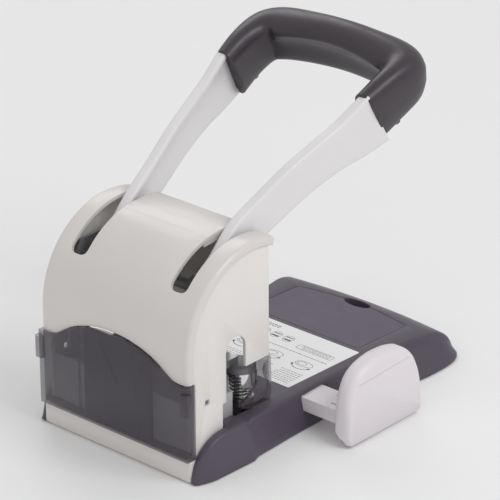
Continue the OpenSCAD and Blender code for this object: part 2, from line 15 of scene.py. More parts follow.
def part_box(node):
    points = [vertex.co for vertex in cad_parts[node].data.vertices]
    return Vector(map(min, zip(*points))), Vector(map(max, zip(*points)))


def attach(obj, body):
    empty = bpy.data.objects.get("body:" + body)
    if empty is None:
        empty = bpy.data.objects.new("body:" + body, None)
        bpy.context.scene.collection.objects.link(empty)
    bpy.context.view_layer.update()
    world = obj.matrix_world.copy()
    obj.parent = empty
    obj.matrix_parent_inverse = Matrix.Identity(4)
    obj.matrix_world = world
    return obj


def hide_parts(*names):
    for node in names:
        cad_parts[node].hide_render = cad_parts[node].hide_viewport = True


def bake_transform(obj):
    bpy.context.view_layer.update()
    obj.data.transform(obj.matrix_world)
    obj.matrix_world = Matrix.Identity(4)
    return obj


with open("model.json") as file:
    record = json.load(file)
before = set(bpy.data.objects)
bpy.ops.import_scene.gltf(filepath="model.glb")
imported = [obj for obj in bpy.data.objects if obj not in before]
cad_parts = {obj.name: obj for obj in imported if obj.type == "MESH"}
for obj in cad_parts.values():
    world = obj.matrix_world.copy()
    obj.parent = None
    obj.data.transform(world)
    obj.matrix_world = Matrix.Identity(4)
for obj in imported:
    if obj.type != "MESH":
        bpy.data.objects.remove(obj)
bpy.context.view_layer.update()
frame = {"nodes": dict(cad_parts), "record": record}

MM = 0.001
SIDES = {"left": -1, "right": 1}
random.seed(7)


# ---------- Places taken from the frame ----------

class Box:
    """A CAD node's box at rest, in millimetres."""

    def __init__(self, node):
        low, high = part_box(node)
        self.x0, self.y0, self.z0 = (v / MM for v in low)
        self.x1, self.y1, self.z1 = (v / MM for v in high)
        self.x = (self.x0 + self.x1) / 2
        self.y = (self.y0 + self.y1) / 2
        self.z = (self.z0 + self.z1) / 2


cover_box = Box("head_cover")
panel_box = Box("side_panel_right")
base_box = Box("base_shell")
lid_box = Box("storage_lid")
label_box = Box("info_label")
bin_box = Box("bin_cover")
guide_box = Box("guide_plate")
bar_box = Box("guide_bar")
cap_box = Box("punch_cap_right")
cup_box = Box("punch_cup_right")
foot_box = Box("stripper_foot_right")
table_box = Box("die_block")

cover_r = 62
wall = 2.5
arc_y = cover_box.y1 - cover_r
arc_z = 83.5
seam_r = cover_r - 6
table_z = table_box.z1
drawer_half = 64.5
lid_hinge_y = -108
pin_r = 1.3
label_slope = 0.0224


# ---------- Mesh helpers ----------

def arc(cy, cz, r, start, end, steps):
    """Points on a circle between two angles in degrees."""
    angles = [math.radians(start + (end - start) * i / steps) for i in range(steps + 1)]
    return [(cy + r * math.cos(a), cz + r * math.sin(a)) for a in angles]


def smooth_path(points, per_span):
    """Catmull-Rom curve through points of any dimension."""
    result = []
    last = len(points) - 1
    for i in range(last):
        p0, p1 = points[max(0, i - 1)], points[i]
        p2, p3 = points[i + 1], points[min(last, i + 2)]
        for k in range(per_span):
            t = k / per_span
            result.append(tuple(
                0.5 * (2 * b + (c - a) * t + (2 * a - 5 * b + 4 * c - d) * t * t
                       + (3 * b - a - 3 * c + d) * t ** 3)
                for a, b, c, d in zip(p0, p1, p2, p3)))
    result.append(tuple(points[-1]))
    return result


def rounded(outline, radii, steps=6):
    """A closed outline with its corners rounded. radii is one radius, or one for each corner."""
    count = len(outline)
    if not isinstance(radii, (list, tuple)):
        radii = [radii] * count
    result = []
    for i, corner in enumerate(outline):
        here = Vector(corner)
        before = Vector(outline[i - 1]) - here
        after = Vector(outline[(i + 1) % count]) - here
        if radii[i] <= 0:
            result.append(tuple(here))
            continue
        half = before.angle(after) / 2
        reach = min(radii[i] / math.tan(half), before.length * 0.49, after.length * 0.49)
        start = here + before.normalized() * reach
        end = here + after.normalized() * reach
        for k in range(steps + 1):
            t = k / steps
            result.append(tuple(start * (1 - t) ** 2 + here * 2 * t * (1 - t) + end * t * t))
    return result


def inset(outline, distance):
    """A smooth closed outline moved inwards. The outline runs anticlockwise."""
    count = len(outline)
    result = []
    for i, point in enumerate(outline):
        along = Vector(outline[(i + 1) % count]) - Vector(outline[i - 1])
        inwards = Vector((-along.y, along.x)).normalized()
        result.append(tuple(Vector(point) + inwards * distance))
    return result


def raw_object(name, points, faces):
    mesh = bpy.data.meshes.new(name)
    mesh.from_pydata([Vector(p) * MM for p in points], [], faces)
    shape = bmesh.new()
    shape.from_mesh(mesh)
    bmesh.ops.remove_doubles(shape, verts=shape.verts, dist=1e-6)
    bmesh.ops.recalc_face_normals(shape, faces=shape.faces)
    if shape.calc_volume(signed=True) < 0:
        bmesh.ops.reverse_faces(shape, faces=shape.faces)
    shape.to_mesh(mesh)
    shape.free()
    obj = bpy.data.objects.new(name, mesh)
    bpy.context.scene.collection.objects.link(obj)
    return obj


def rings_object(name, rings, caps=True, looped=False):
    """Skin over closed rings of points. looped joins the last ring to the first."""
    count = len(rings[0])
    points = [p for ring in rings for p in ring]
    faces = []
    spans = len(rings) if looped else len(rings) - 1
    for i in range(spans):
        for j in range(count):
            a, b = i * count + j, i * count + (j + 1) % count
            shift = ((i + 1) % len(rings) - i) * count
            faces.append((a, b, b + shift, a + shift))
    if caps and not looped:
        faces.append(tuple(range(count - 1, -1, -1)))
        faces.append(tuple(range(len(points) - count, len(points))))
    return raw_object(name, points, faces)


AXES = {"x": lambda u, v, w: (w, u, v), "y": lambda u, v, w: (u, w, v), "z": lambda u, v, w: (u, v, w)}


def prism(name, outline, axis, start, end):
    """An outline extruded along an axis: (y, z) along x, (x, z) along y, (x, y) along z."""
    place = AXES[axis]
    return rings_object(name, [[place(u, v, w) for u, v in outline] for w in (start, end)])


def layered(name, outline, axis, layers):
    """An outline extruded through layers of (place along the axis, inset)."""
    place = AXES[axis]
    rings = [[place(u, v, w) for u, v in inset(outline, depth)] for w, depth in layers]
    return rings_object(name, rings)


def lathe(name, profile, centre, steps=48):
    """A profile of (radius, z) turned round a vertical axis at centre (x, y)."""
    rings = []
    for i in range(steps):
        a = 2 * math.pi * i / steps
        rings.append([(centre[0] + r * math.cos(a), centre[1] + r * math.sin(a), z) for r, z in profile])
    return rings_object(name, rings, looped=True)


def tube(name, path, radius, sides=10):
    """A round tube along a path of 3-D points."""
    rings = []
    for i, point in enumerate(path):
        ahead = Vector(path[min(i + 1, len(path) - 1)]) - Vector(path[max(i - 1, 0)])
        side = ahead.cross(Vector((0, 0, 1))).normalized()
        up = side.cross(ahead).normalized()
        rings.append([tuple(Vector(point) + radius * (math.cos(a) * side + math.sin(a) * up))
                      for a in (2 * math.pi * k / sides for k in range(sides))])
    return rings_object(name, rings)


def apply_modifiers(obj):
    bpy.context.view_layer.update()
    seen = obj.evaluated_get(bpy.context.evaluated_depsgraph_get())
    mesh = bpy.data.meshes.new_from_object(seen)
    obj.modifiers.clear()
    obj.data = mesh


def carve(obj, cutter, operation="DIFFERENCE"):
    """Cuts one closed mesh with another, and removes the cutter."""
    step = obj.modifiers.new("carve", "BOOLEAN")
    step.operation = operation
    step.solver = "EXACT"
    step.object = cutter
    apply_modifiers(obj)
    bpy.data.objects.remove(cutter)


def soften(obj, width, segments=2, angle=35):
    """Rounds every edge sharper than angle."""
    step = obj.modifiers.new("soften", "BEVEL")
    step.width = width * MM
    step.segments = segments
    step.limit_method = "ANGLE"
    step.angle_limit = math.radians(angle)
    step.harden_normals = False
    apply_modifiers(obj)


def subdivide(obj, levels):
    step = obj.modifiers.new("subdivide", "SUBSURF")
    step.levels = levels
    step.render_levels = levels
    apply_modifiers(obj)


def mirrored(obj, name):
    """A copy on the other side of the YZ plane."""
    mesh = obj.data.copy()
    mesh.transform(Matrix.Scale(-1, 4, (1, 0, 0)))
    mesh.flip_normals()
    copy = bpy.data.objects.new(name, mesh)
    bpy.context.scene.collection.objects.link(copy)
    return copy


def finish_piece(obj, slot_name, body, replaced=(), sharp=32):
    """Shading, material, body and slot of a finished mesh."""
    for face in obj.data.polygons:
        face.use_smooth = True
    obj.data.set_sharp_from_angle(angle=math.radians(sharp))
    obj.data.materials.clear()
    obj.data.materials.append(materials[slot_name])
    if body:
        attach(obj, body)
    if replaced:
        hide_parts(*replaced)
    return obj


# ---------- Materials ----------

def srgb(r, g, b):
    """Linear colour from 0-255 display values."""
    def one(v):
        v /= 255
        return v / 12.92 if v <= 0.04045 else ((v + 0.055) / 1.055) ** 2.4
    return one(r), one(g), one(b), 1


def node_material(name):
    material = bpy.data.materials.new(name)
    material.use_nodes = True
    nodes = material.node_tree.nodes
    return material, nodes, material.node_tree.links, nodes["Principled BSDF"]


def noise_factor(nodes, links, scale, detail, stretch=(1, 1, 1)):
    """A noise texture in the object's own metres."""
    where = nodes.new("ShaderNodeTexCoord")
    mapping = nodes.new("ShaderNodeMapping")
    mapping.inputs["Scale"].default_value = stretch
    texture = nodes.new("ShaderNodeTexNoise")
    texture.inputs["Scale"].default_value = scale
    texture.inputs["Detail"].default_value = detail
    links.new(where.outputs["Object"], mapping.inputs["Vector"])
    links.new(mapping.outputs["Vector"], texture.inputs["Vector"])
    return texture.outputs["Fac"]


def ranged(nodes, links, factor, low, high):
    node = nodes.new("ShaderNodeMapRange")
    node.inputs["From Min"].default_value = 0.3
    node.inputs["From Max"].default_value = 0.7
    node.inputs["To Min"].default_value = low
    node.inputs["To Max"].default_value = high
    links.new(factor, node.inputs["Value"])
    return node.outputs["Result"]


def tinted(nodes, links, factor, colour, spread):
    """The colour, a little darker and lighter where factor varies."""
    ramp = nodes.new("ShaderNodeValToRGB")
    ramp.color_ramp.elements[0].position = 0.3
    ramp.color_ramp.elements[1].position = 0.7
    ramp.color_ramp.elements[0].color = [c * (1 - spread) for c in colour[:3]] + [1]
    ramp.color_ramp.elements[1].color = [c * (1 + spread) for c in colour[:3]] + [1]
    links.new(factor, ramp.inputs["Fac"])
    return ramp.outputs["Color"]


def plastic(name, colour, rough, grain=0.05, grain_scale=2600, spread=0.02, coat=0.0, alpha=1.0):
    """Moulded plastic: slow colour drift, uneven gloss and a fine spark-eroded grain."""
    material, nodes, links, shader = node_material(name)
    drift = noise_factor(nodes, links, 14, 3)
    links.new(tinted(nodes, links, drift, colour, spread), shader.inputs["Base Color"])
    patches = noise_factor(nodes, links, 90, 4)
    links.new(ranged(nodes, links, patches, rough - 0.04, rough + 0.05), shader.inputs["Roughness"])
    texture = noise_factor(nodes, links, grain_scale, 2)
    bump = nodes.new("ShaderNodeBump")
    bump.inputs["Strength"].default_value = grain
    bump.inputs["Distance"].default_value = 0.0001
    links.new(texture, bump.inputs["Height"])
    links.new(bump.outputs["Normal"], shader.inputs["Normal"])
    shader.inputs["Coat Weight"].default_value = coat
    shader.inputs["Coat Roughness"].default_value = 0.12
    shader.inputs["Alpha"].default_value = alpha
    return material


def metal(name, colour, rough, brushed=0.0, spread=0.03, stretch=(1, 1, 60)):
    """Metal with fine drawn lines and uneven polish."""
    material, nodes, links, shader = node_material(name)
    shader.inputs["Metallic"].default_value = 1.0
    lines = noise_factor(nodes, links, 700, 3, [s / max(stretch) for s in stretch])
    links.new(tinted(nodes, links, lines, colour, spread), shader.inputs["Base Color"])
    polish = noise_factor(nodes, links, 120, 3)
    links.new(ranged(nodes, links, polish, max(0.02, rough - 0.05), rough + 0.07),
              shader.inputs["Roughness"])
    bump = nodes.new("ShaderNodeBump")
    bump.inputs["Strength"].default_value = brushed
    bump.inputs["Distance"].default_value = 0.0001
    links.new(lines, bump.inputs["Height"])
    links.new(bump.outputs["Normal"], shader.inputs["Normal"])
    return material


materials = {
    "base_plastic": plastic("charcoal_base_plastic", srgb(78, 70, 84), 0.36, 0.10),
    "lid_plastic": plastic("charcoal_lid_plastic", srgb(84, 76, 92), 0.42, 0.16, 1900),
    "underside_plastic": plastic("dark_underside_plastic", srgb(52, 48, 54), 0.55, 0.2),
    "grip_plastic": plastic("charcoal_grip_plastic", srgb(58, 51, 58), 0.34, 0.12),
    "head_plastic": plastic("warm_grey_cover_plastic", srgb(218, 213, 210), 0.34, 0.04, coat=0.15),
    "panel_plastic": plastic("warm_grey_panel_plastic", srgb(228, 225, 222), 0.38, 0.04),
    "arm_plastic": plastic("light_grey_arm_plastic", srgb(226, 224, 225), 0.36, 0.04),
    "guide_plastic": plastic("light_grey_guide_plastic", srgb(228, 222, 226), 0.36, 0.05),
    "tray_plastic": plastic("grey_tray_plastic", srgb(196, 193, 197), 0.45, 0.08),
    "cap_plastic": plastic("mid_grey_cap_plastic", srgb(132, 130, 136), 0.38, 0.08),
    "insert_plastic": plastic("black_insert_plastic", srgb(44, 39, 46), 0.45, 0.0),
    "smoked_plastic": plastic("smoked_clear_plastic", srgb(74, 66, 78), 0.12, 0.0, coat=0.6, alpha=0.46),
    "steel": metal("zinc_plated_steel", srgb(200, 200, 202), 0.32, 0.12),
    "dark_steel": metal("blackened_steel", srgb(92, 92, 95), 0.35, 0.1),
    "tool_steel": metal("ground_tool_steel", srgb(214, 214, 214), 0.18, 0.08),
    "chrome": metal("bright_chrome", srgb(226, 226, 228), 0.07, 0.0, 0.01),
    "brass": metal("turned_brass", srgb(214, 180, 110), 0.25, 0.1, stretch=(1, 1, 1)),
    "rubber": plastic("black_rubber", srgb(38, 38, 40), 0.75, 0.4, 1200),
    "label_film": plastic("white_label_film", srgb(240, 240, 240), 0.42, 0.03),
}
ink = plastic("printed_ink", srgb(70, 68, 72), 0.5, 0.02)

for part in frame["record"]["subparts"]:
    node_object = frame["nodes"][part["node"]]
    node_object.data.materials.clear()
    node_object.data.materials.append(materials[part["material_slot"]])


# ---------- Head ----------

def head_profile(radius, low, front):
    """Side outline (y, z) of the arch at a radius, from its rear foot round to the front."""
    turn = 180 - math.degrees(math.acos((arc_y - front) / radius))
    return [(arc_y + radius, low)] + arc(arc_y, arc_z, radius, 0, turn, 60)


def drawer_arch_outline(grow):
    """Upper edge (x, z) of the drawer opening: low shoulders and a flat arch between them."""
    half = [(drawer_half, 68), (56, 67.7), (50.5, 68.6), (45, 72), (36, 77.4), (25, 81.6), (12, 84.4)]
    path = half + [(0, 85)] + [(-x, z) for x, z in reversed(half)]
    return [(x, z + grow) for x, z in smooth_path(path, 5)]


slot_in = 36
slot_out = 50
slot_turn = 38.3


def make_cover():
    front = cover_box.y0
    side = cover_box.x1
    edge_r = 3.2
    rim = cover_r - seam_r - 0.3
    section = [(side - edge_r - 40, 0), (side - edge_r, 0)]
    section += [(side - edge_r + edge_r * math.sin(a), edge_r * (1 - math.cos(a)))
                for a in (math.radians(d) for d in (18, 36, 54, 72, 90))]
    section += [(side, rim - 0.5), (side - 0.5, rim), (side - 2.6, rim), (side - 2.6, wall)]
    section += [(side - 2.6 - 36, wall)]
    ring = section + [(-x, d) for x, d in reversed(section)]
    path = [(arc_y + cover_r, z) for z in (48, 60, 72)] + head_profile(cover_r, 83, front)[1:]
    rings = []
    for y, z in path:
        out = Vector((y - arc_y, max(0, z - arc_z))).normalized()
        rings.append([(x, y - out.x * d, z - out.y * d) for x, d in ring])
    cover = rings_object("head_cover_shell", rings)

    facet_start = 24
    facet_z = arc_z + math.sqrt(cover_r ** 2 - (facet_start - arc_y) ** 2)
    facet = [(facet_start + 4, facet_z - 1.75), (facet_start, facet_z + 0.05), (4, 146.2), (front + 0.6, 144.9),
             (front + 0.6, 141), (facet_start + 4, 138.6)]
    carve(cover, prism("facet", facet, "x", -slot_in + 0.01, slot_in - 0.01), "UNION")

    for side_sign in SIDES.values():
        middle = side_sign * (slot_in + slot_out) / 2
        half = (slot_out - slot_in) / 2
        plan = [(half, 60), (-half, 60)] + rounded([(-half, 20), (-half, 0), (half, 0), (half, 20)],
                                                   [0, 5.4, 5.4, 0])
        slot = prism("slot", plan, "z", 30, 90)
        tilt = math.radians(slot_turn - 90)
        slot.data.transform(Matrix.Translation((middle * MM, arc_y * MM, arc_z * MM))
                            @ Matrix.Rotation(tilt, 4, "X") @ Matrix.Rotation(math.pi, 4, "Z"))
        carve(cover, slot)
        run = [(arc_y + 130 * math.cos(math.radians(a)), arc_z + 130 * math.sin(math.radians(a)))
               for a in (slot_turn + 12, 95, 130)]
        wedge = prism("wedge", [(arc_y, arc_z)] + run, "x", middle - half, middle + half)
        carve(cover, wedge)

    opening = drawer_arch_outline(0.5)
    opening = opening + [(-90, 68.5), (-90, 0), (90, 0), (90, 68.5)]
    carve(cover, prism("opening", opening, "y", 40, 90))
    soften(cover, 0.7, 3, 40)
    finish_piece(cover, "head_plastic", "base", ["head_cover"])


def make_panels():
    low = panel_box.z0
    front = panel_box.y0
    top = arc_z + math.sqrt(seam_r ** 2 - (arc_y - front) ** 2)
    turn = math.degrees(math.atan2(top - arc_z, front - arc_y))
    outline = [(front, 62), (20, 62)] + arc(29, 77, 9, 180, 0, 20)
    outline += [(38, 44), (41.5, 44), (41.5, low), (arc_y + seam_r, low)]
    outline += arc(arc_y, arc_z, seam_r, 0, turn, 48)
    panel = prism("side_panel_moulding", outline, "x", panel_box.x0, panel_box.x1)
    hole = rounded([(53.8, 48.4), (57.6, 48.4), (57.6, 52.2), (53.8, 52.2)], 0.8, 3)
    carve(panel, prism("hole", hole, "x", panel_box.x0 - 3, panel_box.x1 + 3))
    soften(panel, 0.5, 2, 40)
    left = mirrored(panel, "side_panel_moulding_left")
    panel.name = "side_panel_moulding_right"
    finish_piece(panel, "panel_plastic", "base", ["side_panel_right"])
    finish_piece(left, "panel_plastic", "base", ["side_panel_left"])


def make_fascia():
    box = Box("front_fascia")
    arch_r = 13.5
    arm_low = 106
    half = [(box.x1, box.z0), (box.x1, box.z1), (51.5, box.z1), (51.5, arm_low), (34.5, arm_low), (34.5, box.z1)]
    upper = half + [(-x, z) for x, z in reversed(half)]
    lower = [(-40 - arch_r, box.z0)] + arc(-40, 70, arch_r, 180, 0, 20) + [(-40 + arch_r, box.z0)]
    lower += [(40 - arch_r, box.z0)] + arc(40, 70, arch_r, 180, 0, 20) + [(40 + arch_r, box.z0)]
    fascia = prism("front_fascia_moulding", upper + lower, "y", box.y0, box.y1)
    soften(fascia, 0.5, 2, 40)
    finish_piece(fascia, "head_plastic", "base", ["front_fascia"])


def make_sill():
    box = Box("rear_sill")
    outline = rounded([(box.x0, box.z0), (box.x1, box.z0), (box.x1, box.z1), (box.x0, box.z1)], 1.6, 5)
    sill = layered("rear_sill_moulding", outline, "y",
                   [(box.y0, 0), (box.y1 - 1.2, 0), (box.y1 - 0.35, 0.35), (box.y1, 1.2)])
    finish_piece(sill, "head_plastic", "base", ["rear_sill"])


# ---------- Base ----------

slope_mid = -105
slope_front = -156
base_front = 182
nose_len = base_front + slope_front
bow = 5
lid_bow = 6.8
lid_corner_y = -157.6


def ramp(y, y0, z0, y1, z1):
    return z0 + (z1 - z0) * (y - y0) / (y1 - y0)


def top_z(y):
    """Height of the base's upper surface at y, apart from the bow."""
    if y > 44:
        return 28 - 27 * (1 - math.sqrt(max(0, 1 - ((y - 44) / (base_box.y1 - 43.8)) ** 2)))
    if y > 25:
        return ramp(y, 44, 28, 25, 27.2)
    if y > slope_mid:
        return ramp(y, 20, table_z + 0.4, slope_mid, table_z - 2.4)
    if y > slope_front:
        return ramp(y, slope_mid, table_z - 2.4, slope_front, table_z - 4.5)
    low = base_box.z0
    return low + (table_z - 4.5 - low) * math.sqrt(max(0, 1 - ((slope_front - y) / nose_len) ** 2))


def waist(y):
    return math.cos(math.radians(min(90, abs(y + 50) * 0.9))) ** 2


def corner(y):
    return max(0, 1 - (max(0, -y - 152) / (base_front - 151.5)) ** 3) ** (1 / 3)


def foot_half(y):
    """Half-width of the base where it meets the desk."""
    if y > 24:
        return 74 - 1.5 * (y - 24) / 49 - 4.5 * (max(0, y - 56) / 17) ** 2
    if y > -50:
        return 69.5 + 3 * (1 - waist(y))
    return 62 + 21 * corner(y) - 13.5 * corner(y) * waist(y)


def edge_half(y):
    """Half-width of the base along its upper edge."""
    if y > 24:
        return 69.5 - 2.5 * (max(0, y - 60) / 13) ** 2
    if y > -110:
        return 63 + 4 * max(0, (y + 50) / 74)
    if y > slope_front:
        return 63 + 5 * ((-y - 110) / (-slope_front - 110)) ** 2
    return foot_half(y) - 15 * (top_z(y) - base_box.z0) / (table_z - 4.5 - base_box.z0)


def bow_at(x, y):
    """How far the front of the base bows forward at x."""
    share = max(0, min(1, (-y - 118) / 38))
    return bow * share * share * (3 - 2 * share) * (1 - (x / 70) ** 2)


def base_ring(y):
    foot, edge, low = foot_half(y), edge_half(y), base_box.z0
    high = max(top_z(y), low + 0.4)
    round_r = min(2.2, (high - low) / 4)
    half = [(foot, low), (foot, low + min(1.2, round_r))]
    for k in range(1, 7):
        t = k / 7
        z = low + 1.2 + (high - round_r - low - 1.2) * t
        half.append((edge + (foot - edge) * (1 - t) ** 1.5, max(z, low + min(1.2, round_r))))
    for d in (0, 30, 60, 90):
        a = math.radians(d)
        half.append((edge - round_r * (1 - math.cos(a)), high - round_r * (1 - math.sin(a))))
    half += [((edge - round_r) * t, high) for t in (0.86, 0.7, 0.5, 0.25)]
    ring = half + [(0, high)] + [(-x, z) for x, z in reversed(half)]
    return [(x, y - bow_at(x, y), z) for x, z in ring]


def base_stations():
    rear = [base_box.y1 - 29 * i / 10 for i in range(10)]
    middle = [43, 34.5, 25.6, 24.4, 18] + [12 - 6 * i for i in range(28)]
    nose = [slope_front - (nose_len - 0.05) * math.sin(math.radians(i * 90 / 16)) for i in range(17)]
    return rear + middle + nose


def lid_outline(grow):
    """Plan outline (x, y) of the storage lid, its front edge bowed."""
    half = lid_box.x1 + grow
    rear = lid_hinge_y + pin_r + grow
    places = [half * (i / 12 - 1) for i in range(25)]
    front = [(x, lid_corner_y - lid_bow * (1 - (x / lid_box.x1) ** 2) - grow) for x in places]
    return rounded(front + [(half, rear), (-half, rear)], [2] + [0] * 23 + [2, 1, 1], 4)


def notch_outline():
    """Plan outline (x, y) of the finger notch in front of the lid."""
    middle = lid_corner_y - lid_bow + 0.4
    angles = [math.radians(a) for a in range(0, 360, 12)]
    return [(11 * math.cos(a), middle - 4.9 * math.sin(a)) for a in angles]


def make_base():
    base = rings_object("base_moulding", [base_ring(y) for y in base_stations()])
    for outline, low, high in [
        ([(-55.3, -9.4), (55.3, -9.4), (55.3, 90), (-55.3, 90)], -2, 60),
        ([(-64.3, 40.5), (64.3, 40.5), (64.3, 90), (-64.3, 90)], -2, 60),
        (lid_outline(0.35), table_z - 7.5, 60),
        (notch_outline(), table_z - 12, 60),
    ]:
        carve(base, prism("cut", outline, "z", low, high))
    side_exit = rounded([(bar_box.y0 - 0.6, bar_box.z0 - 0.6), (bar_box.y1 + 0.6, bar_box.z0 - 0.6),
                         (bar_box.y1 + 0.6, bar_box.z1 + 0.6), (bar_box.y0 - 0.6, bar_box.z1 + 0.6)], 0.8, 3)
    carve(base, prism("exit", side_exit, "x", -90, -30))
    soften(base, 0.4, 2, 40)
    finish_piece(base, "base_plastic", "base", ["base_shell"], 30)


def on_label(u, v, lift=0.0):
    """A place on the label: u across from -1 to 1, v from 0 at its rear edge to 1 at its front edge."""
    x = label_box.x1 * u
    y = label_box.y1 + (label_box.y0 - label_box.y1) * v
    front_z = label_box.z1 - (label_box.y1 - label_box.y0) * label_slope
    z = ramp(y, label_box.y1, label_box.z1, label_box.y0, front_z)
    return x, y, z + lift


def make_label_art():
    """Generic line art: bars in place of words, sheets of paper with holes and an arc arrow."""
    points, faces = [], []

    def strip(path, width):
        """A flat ribbon of ink along a path of (u, v)."""
        places = [Vector(on_label(u, v, 0.04)) for u, v in path]
        start = len(points)
        for i, place in enumerate(places):
            ahead = places[min(i + 1, len(places) - 1)] - places[max(i - 1, 0)]
            side = Vector((-ahead.y, ahead.x, 0)).normalized() * width / 2
            points.append(tuple(place - side))
            points.append(tuple(place + side))
        for i in range(len(places) - 1):
            a = start + 2 * i
            faces.append((a, a + 1, a + 3, a + 2))

    def words(u0, u1, v, rows, pitch, height, ragged=0.12):
        """Rows of short bars that stand for text."""
        for row in range(rows):
            u = u0
            end = u1 - ragged * random.random() * (u1 - u0)
            while u < end:
                step = 0.02 + 0.035 * random.random()
                strip([(u, v + row * pitch), (min(u + step, end), v + row * pitch)], height)
                u += step + 0.012

    def loop(u, v, ru, rv, width, start=0, end=360):
        strip([(u + ru * math.cos(math.radians(a)), v + rv * math.sin(math.radians(a)))
               for a in range(start, end + 1, 10)], width)

    def arrow(u, v, ru, rv, start, end):
        loop(u, v, ru, rv, 0.5, start, end)
        for a, turn in ((start, -1), (end, 1)):
            tip = (u + ru * math.cos(math.radians(a)), v + rv * math.sin(math.radians(a)))
            back = math.radians(a - turn * 16)
            strip([tip, (u + ru * math.cos(back), v + rv * math.sin(back))], 1.6)

    for column in range(4):
        centre = -0.72 + 0.48 * column
        words(centre - 0.2, centre + 0.18, 0.06, 7, 0.035, 0.45)
        loop(centre, 0.46, 0.13, 0.05, 0.35)
        loop(centre + 0.03, 0.46, 0.07, 0.03, 0.3)
        arrow(centre, 0.45, 0.15, 0.1, 200, 340)
    words(-0.92, 0.92, 0.60, 1, 0.03, 0.6, 0.02)
    for column in range(5):
        centre = -0.1 + 0.2 * column
        strip([(centre - 0.06, 0.75), (centre + 0.05, 0.75)], 1.6)
        strip([(centre - 0.05, 0.8), (centre + 0.06, 0.8)], 0.9)
        loop(centre, 0.775, 0.075, 0.06, 0.3)
    frame_path = rounded([(-0.88, 0.68), (-0.32, 0.68), (-0.32, 0.76), (-0.88, 0.76)], 0.02, 3)
    strip(frame_path + [frame_path[0]], 0.35)
    words(-0.84, -0.36, 0.7, 3, 0.022, 0.4)
    words(0.2, 0.6, 0.9, 2, 0.03, 0.8)
    art = raw_object("label_line_art", points, faces)
    art.data.materials.append(ink)
    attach(art, "base")


def make_label():
    outline = rounded([(label_box.x0, label_box.y0), (label_box.x1, label_box.y0),
                       (label_box.x1, label_box.y1), (label_box.x0, label_box.y1)], 1.2, 4)
    rings = []
    for lift in (-0.25, -0.03, 0.0):
        ring = []
        for x, y in inset(outline, 0.04 if lift == 0 else 0):
            v = (y - label_box.y1) / (label_box.y0 - label_box.y1)
            ring.append(on_label(x / label_box.x1, v, lift))
        rings.append(ring)
    label = rings_object("instruction_label", rings)
    finish_piece(label, "label_film", "base", ["info_label"])


# ---------- Handle ----------

arm_half = 4
splay = math.tan(math.radians(10.3))
ARM_PAIRS = [((-96, 209.5), (-113, 175)), ((-91.5, 206.5), (-107, 173)), ((-75, 196.3), (-93, 168.8)),
             ((-59.8, 189), (-74, 164.2)), ((-34.4, 177), (-50, 155.3)), ((-12.7, 164.1), (-25, 142.2)),
             ((5, 153.6), (-3, 130.4)), ((14, 146.8), (8, 123.4)), ((24, 137), (14.6, 114)),
             ((34, 128), (16, 104)), ((41, 119), (22, 98.2)), ((43.5, 110), (30, 96)), ((42, 103.5), (37, 98.4))]


def arm_shift(y):
    """How far outwards the arm's middle stands at y."""
    t = (6 - y) / 5
    return splay * 5 * (math.log1p(math.exp(t)) if t < 30 else t)


def make_arms():
    stations = smooth_path([upper + lower for upper, lower in ARM_PAIRS], 5)
    lip = 1.5
    rings = []
    for uy, uz, ly, lz in stations:
        up = Vector((uy - ly, uz - lz))
        height = up.length
        up.normalize()
        ring = []
        corners = [(-arm_half, 0), (arm_half, 0), (arm_half, height), (-arm_half, height)]
        outline = rounded(corners, [2, 2, 2.4, 2.4], 4)
        outline = outline[:10] + [(arm_half - 0.3, height * 0.3), (arm_half - 0.3, height * 0.7)] + outline[10:]
        outline += [(-arm_half, height - 3.4), (-arm_half + lip, height - 6), (-arm_half + lip, 6),
                    (-arm_half, 3.4)]
        for across, h in outline:
            y = ly + up.x * h
            z = lz + up.y * h
            ring.append((42.5 + arm_shift(y) + across, y, z))
        rings.append(ring)
    arm = rings_object("handle_arm", rings)
    left = mirrored(arm, "handle_arm_left")
    arm.name = "handle_arm_right"
    finish_piece(arm, "arm_plastic", "handle", ["arm_right"], 50)
    finish_piece(left, "arm_plastic", "handle", ["arm_left"], 50)


handle_dir = Vector((0, -0.883, 0.469))
handle_up = Vector((0, 0.469, 0.883))
crossbar_up = Vector((0, 0.27, 0.963))
GRIP_HALF = [(59.4, -102.6, 192.1, 7.6, 19.6, 0), (60.4, -110, 195.9, 8.2, 19.4, 0),
             (61.0, -118, 200.0, 8.7, 19.2, 0), (61.2, -128, 204.2, 9.8, 18.8, 6), (60, -137, 207.4, 12.2, 18.2, 24),
             (55, -142, 209.2, 15.4, 17.8, 50), (45, -144.6, 211, 15.8, 17.8, 76), (28, -146, 212.6, 14.4, 18, 86),
             (12, -146.6, 213.6, 13.6, 18.3, 89), (0, -146.8, 213.8, 13.4, 18.3, 90)]
SLEEVE = [(0.2, 1.0), (0.72, 0.9), (0.98, 0.62), (1.02, 0.12), (0.98, -0.3), (0.8, -0.82), (0.35, -1.0),
          (-0.35, -1.0), (-0.8, -0.86), (-1.0, -0.4), (-1.0, 0.1), (-0.98, 0.6), (-0.74, 0.88), (-0.25, 1.0)]
CROSSBAR = [(0.2, 1.0), (0.66, 0.74), (0.98, 0.34), (1.04, -0.08), (0.92, -0.5), (0.62, -0.86), (0.15, -1.03),
            (-0.36, -0.98), (-0.5, -0.62), (-0.5, -0.2), (-0.62, 0.22), (-1.02, 0.66), (-0.98, 0.92), (-0.4, 1.06)]


def grip_ring(station):
    x, y, z, wide, tall, turn = station
    share = max(0, math.sin(math.radians(turn)))
    blend = share ** 1.5
    outwards = Vector((math.cos(math.radians(turn)), 0, 0)) + math.sin(math.radians(turn)) * handle_dir
    upwards = crossbar_up * share + handle_up * (1 - share)
    ring = []
    for (su, sv), (cu, cv) in zip(SLEEVE, CROSSBAR):
        u = su + (cu - su) * blend
        v = sv + (cv - sv) * blend
        ring.append(tuple(Vector((x, y, z)) + wide * u * outwards + tall * v * upwards))
    return ring


